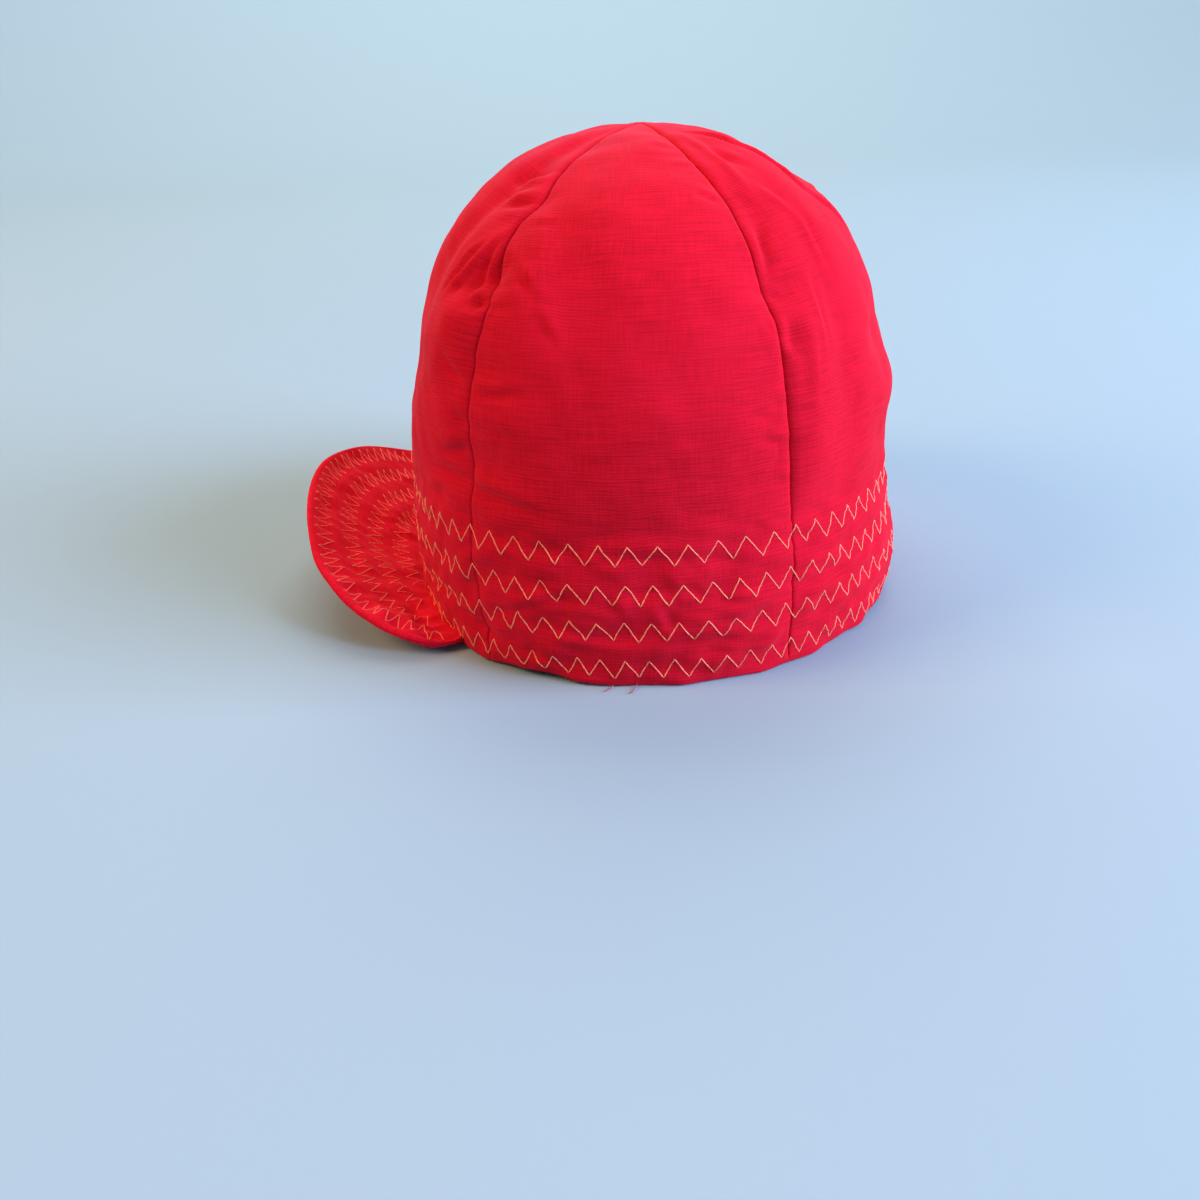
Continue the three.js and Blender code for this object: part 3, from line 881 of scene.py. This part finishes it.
class CAP_OT_bill(bpy.types.Operator):
    """Makes the bill: a sheet folded round the outer edge, with its two layers quilted"""
    bl_idname = "cap.bill"
    bl_label = "Bill"

    def execute(self, context):
        cloth = context.scene.cap_cloth
        spacing, thick = cloth.spacing / MM, cloth.thickness / MM
        half = (BILL_THICKNESS - thick) / 2
        columns = int(round(BILL_MESH_LENGTH / spacing))
        # The points lie closer towards the bill's ends, where its outline turns sharply.
        place = np.linspace(-1, 1, columns)
        across = BILL_END * (0.35 * place + 0.65 * np.sin(place * math.pi / 2))
        full = bill_reach(across)
        count = int(round((BILL_LENGTH + BILL_TUCK) / spacing))
        edge_steps = 9
        bend = np.linspace(-math.pi / 2, math.pi / 2, edge_steps + 2)[1:-1]
        share = np.linspace(0, 1, count)[:, None]
        # The bill thins towards its ends, where its two layers come together.
        near_tip = 1 - smoothstep(full, 3.5, 14)
        layer = half - (half - 0.36) * near_tip
        straight = (full - layer + BILL_TUCK) * share - BILL_TUCK
        # A seam closes the edge just under its middle, where the two layers are turned in.
        pinch = 1 - 0.42 * np.exp(-((bend + 0.55) / 0.24) ** 2)
        edge_distance = full - layer + layer * (np.cos(bend) * pinch)[:, None]
        edge_above = layer * (np.sin(bend) * pinch)[:, None]
        distance = np.concatenate([straight, edge_distance, straight[::-1]])
        above = np.concatenate([-layer + 0 * straight, edge_above, layer + 0 * straight])
        distance = distance - 1.6 * near_tip * (distance > 0)
        points = bill_points(across[None, :], distance, above, cloth.creasing)
        run = np.concatenate([straight, full + math.pi / 2 + 0 * edge_distance,
                              2 * full + math.pi - straight[::-1]])
        uv = np.stack([np.broadcast_to(across * BILL_HALF_WIDTH * 1.25, run.shape), run], -1)
        piece, row, column = add_grid("cloth_bill", *distance.shape)
        lay_points(piece, points[::-1][row, column], uv[::-1][row, column])
        thicken(piece, cloth.thickness)
        # The bill gets its own copy of the cotton, painted lighter as painted light.
        cotton = woven_cotton("Plain-woven red cotton, bill, painted lighter", cloth, 47.0, cloth.bill_painted_light)
        finish_piece(piece, cotton, ["bill"])
        return {"FINISHED"}


class CAP_OT_hem_stitches(bpy.types.Operator):
    """Makes the four rows of zigzag stitching that hold the hem, outside and inside"""
    bl_idname = "cap.hem_stitches"
    bl_label = "Hem stitches"

    def execute(self, context):
        cloth, settings = context.scene.cap_cloth, context.scene.cap_stitches
        thread = sewing_thread("Spun cotton thread, pale orange, hem",
                               tuple(settings.colour), tuple(settings.shade))
        inside = 2 * RIM_TURN + cloth.thickness / MM
        for number, (middle, count, peak) in enumerate(HEM_ROWS, 1):
            path, lift = hem_row(count, peak, middle, settings, 40 + number)
            outer = crown_points(path[:, 0], path[:, 1], -lift, cloth.creasing)
            inner = crown_points(path[:, 0], path[:, 1], inside + lift, cloth.creasing)
            piece = add_thread(f"hem_stitch_row_{number}", [outer, inner],
                               settings.thickness, True)
            finish_piece(piece, thread)
        return {"FINISHED"}


class CAP_OT_bill_stitches(bpy.types.Operator):
    """Makes the rows of zigzag stitching that follow the bill's outer edge, on both sides"""
    bl_idname = "cap.bill_stitches"
    bl_label = "Bill stitches"

    def execute(self, context):
        cloth, settings = context.scene.cap_cloth, context.scene.cap_stitches
        # The bill's thread is a deeper copy of the hem's thread, as painted light.
        thread = sewing_thread("Spun cotton thread, orange, bill",
                               tuple(settings.bill_painted_light_colour), tuple(settings.bill_painted_light_shade))
        half = BILL_THICKNESS / 2
        for number, distance in enumerate(BILL_ROWS, 1):
            path, lift = bill_row(distance, settings, 60 + number)
            across = path[:, 0] / BILL_HALF_WIDTH
            top = bill_points(across, path[:, 1], half + lift, cloth.creasing)
            under = bill_points(across, path[:, 1], -half - lift, cloth.creasing)
            piece = add_thread(f"bill_stitch_row_{number}", [top, under],
                               settings.thickness, False)
            finish_piece(piece, thread)
        return {"FINISHED"}


class CAP_OT_loose_ends(bpy.types.Operator):
    """Makes the two short loose thread ends that hang from under the rim"""
    bl_idname = "cap.loose_ends"
    bl_label = "Loose thread ends"

    def execute(self, context):
        settings = context.scene.cap_stitches
        # Its second colour is painted shade for the twist, as in every thread.
        thread = sewing_thread("Spun cotton thread, red", linear("#b4242a"), linear("#8c161c"))
        paths = []
        for around, length, lean in ((139.5, 4.6, -0.5), (146.5, 5.4, -0.35)):
            root = crown_points([around], [1.0], [0.9], 0)[0]
            x, y = bill_plan_normal(np.array([around]))
            out = np.array([x[0], y[0], 0])
            along = np.array([-y[0], x[0], 0])
            share = np.linspace(0, 1, 14)[:, None]
            way = root + (out * share + along * lean * share ** 1.5) * length
            way[:, 2] = 1.0 * (1 - share[:, 0]) ** 2 + 0.22 + 0.35 * share[:, 0] ** 3
            paths.append(way)
        piece = add_thread("loose_thread_ends", paths, settings.thickness * 0.8, False)
        finish_piece(piece, thread)
        return {"FINISHED"}


class CAP_OT_stage(bpy.types.Operator):
    """Lays the floor, sets the softboxes and puts the camera at the photograph's angle"""
    bl_idname = "cap.stage"
    bl_label = "Stage"

    def execute(self, context):
        stage = context.scene.cap_stage
        bpy.ops.object.select_all(action="DESELECT")
        # The paper lies flat round the cap, and sweeps up all round into one smooth wall.
        bpy.ops.mesh.primitive_circle_add(vertices=128, radius=FLOOR_RADIUS, fill_type="NGON")
        floor = bpy.context.object
        floor.name = floor.data.name = "studio_floor"
        bpy.ops.object.mode_set(mode="EDIT")
        reach, height = FLOOR_RADIUS, 0.0
        for step in range(1, SWEEP_STEPS + WALL_STEPS + 1):
            turn = math.radians(min(step, SWEEP_STEPS) * 90 / SWEEP_STEPS)
            rise = SWEEP_RADIUS * (1 - math.cos(turn)) + WALL_STEP * max(step - SWEEP_STEPS, 0)
            bpy.ops.mesh.select_mode(type="EDGE")
            bpy.ops.mesh.select_all(action="DESELECT")
            bpy.ops.mesh.select_non_manifold()
            bpy.ops.mesh.extrude_edges_move(
                TRANSFORM_OT_translate={"value": (0, 0, rise - height)})
            size = (FLOOR_RADIUS + SWEEP_RADIUS * math.sin(turn)) / reach
            bpy.ops.transform.resize(value=(size, size, 1), center_override=(0, 0, 0))
            reach, height = reach * size, rise
        bpy.ops.mesh.select_all(action="SELECT")
        bpy.ops.mesh.normals_make_consistent(inside=True)
        bpy.ops.object.mode_set(mode="OBJECT")
        bpy.ops.object.shade_smooth()
        floor.data.materials.append(
            studio_paper("Matt background paper, pale blue", tuple(stage.floor_colour)))
        for name, side, above, away, size, share, colour in SOFTBOXES:
            turn, tilt = math.radians(side), math.radians(above)
            way = Vector((math.sin(turn) * math.cos(tilt), -math.cos(turn) * math.cos(tilt),
                          math.sin(tilt)))
            middle = Vector((0, CROWN_CENTRE_Y * MM, 0.07))
            bpy.ops.object.select_all(action="DESELECT")
            bpy.ops.object.light_add(type="AREA", location=middle + way * away)
            box = bpy.context.object
            box.name = box.data.name = name
            box.rotation_euler = (-way).to_track_quat("-Z", "Y").to_euler()
            box.data.size = size
            box.data.energy = stage.key * share
            box.data.color = linear(colour)
        place, size, share = BACKGROUND_LIGHT
        bpy.ops.object.select_all(action="DESELECT")
        bpy.ops.object.light_add(type="AREA", location=place)
        box = bpy.context.object
        box.name = box.data.name = "background_light"
        box.data.size = size
        box.data.energy = stage.key * share
        world = bpy.data.worlds.new("Studio light all round")
        world.use_nodes = True
        context.scene.world = world
        sky = world.node_tree.nodes["Background"]
        sky.inputs["Color"].default_value = (*stage.sky_colour, 1)
        sky.inputs["Strength"].default_value = stage.fill
        # The photograph's strong red needs the plain transform: the default one greys it.
        context.scene.view_settings.view_transform = "Standard"
        self.add_camera(context)
        return {"FINISHED"}

    def add_camera(self, context):
        side, above = math.radians(CAMERA_SIDE), math.radians(CAMERA_ABOVE)
        way = Vector((math.sin(side) * math.cos(above), -math.cos(side) * math.cos(above),
                      math.sin(above)))
        place = Vector(CAMERA_TARGET) + CAMERA_AWAY * way
        heading, pitch = side + math.radians(CAMERA_TURN), math.radians(CAMERA_PITCH)
        roll = math.radians(CAMERA_ROLL)
        forward = Vector((-math.sin(heading) * math.cos(pitch),
                          math.cos(heading) * math.cos(pitch), -math.sin(pitch)))
        right = forward.cross(Vector((0, 0, 1))).normalized()
        upright = right.cross(forward)
        turned_right = right * math.cos(roll) + upright * math.sin(roll)
        turned_up = upright * math.cos(roll) - right * math.sin(roll)
        bpy.ops.object.select_all(action="DESELECT")
        bpy.ops.object.camera_add()
        camera = bpy.context.object
        camera.name = camera.data.name = "photo_camera"
        turn = Matrix((turned_right, turned_up, -forward)).transposed().to_4x4()
        camera.matrix_world = Matrix.Translation(place * MM) @ turn
        camera.data.sensor_width = CAMERA_SENSOR
        camera.data.lens = CAMERA_LENS
        camera.data.clip_start = 0.01
        context.scene.camera = camera


class CAP_PT_panel(bpy.types.Panel):
    """Lists the cap's settings and the steps that make it"""
    bl_idname = "CAP_PT_panel"
    bl_label = "Welding cap"
    bl_space_type = "VIEW_3D"
    bl_region_type = "UI"
    bl_category = "Cap"

    def draw(self, context):
        for group in ("cap_cloth", "cap_stitches", "cap_stage"):
            box = self.layout.box()
            settings = getattr(context.scene, group)
            for key in settings.bl_rna.properties.keys():
                if key not in ("rna_type", "name"):
                    box.prop(settings, key)
        for step in STEPS:
            self.layout.operator(step.bl_idname)


GROUPS = {"cap_cloth": CapCloth, "cap_stitches": CapStitches, "cap_stage": CapStage}
STEPS = (CAP_OT_crown, CAP_OT_apex, CAP_OT_bill, CAP_OT_hem_stitches, CAP_OT_bill_stitches,
         CAP_OT_loose_ends, CAP_OT_stage)


def register():
    for kind in (*GROUPS.values(), *STEPS, CAP_PT_panel):
        bpy.utils.register_class(kind)
    for name, kind in GROUPS.items():
        setattr(bpy.types.Scene, name, PointerProperty(type=kind))


def unregister():
    for name in GROUPS:
        delattr(bpy.types.Scene, name)
    for kind in (CAP_PT_panel, *reversed(STEPS), *reversed(list(GROUPS.values()))):
        bpy.utils.unregister_class(kind)


def main():
    register()
    bpy.ops.cap.crown()
    bpy.ops.cap.apex()
    bpy.ops.cap.bill()
    bpy.ops.cap.hem_stitches()
    bpy.ops.cap.bill_stitches()
    bpy.ops.cap.loose_ends()
    bpy.ops.cap.stage()


if __name__ == "__main__":
    main()
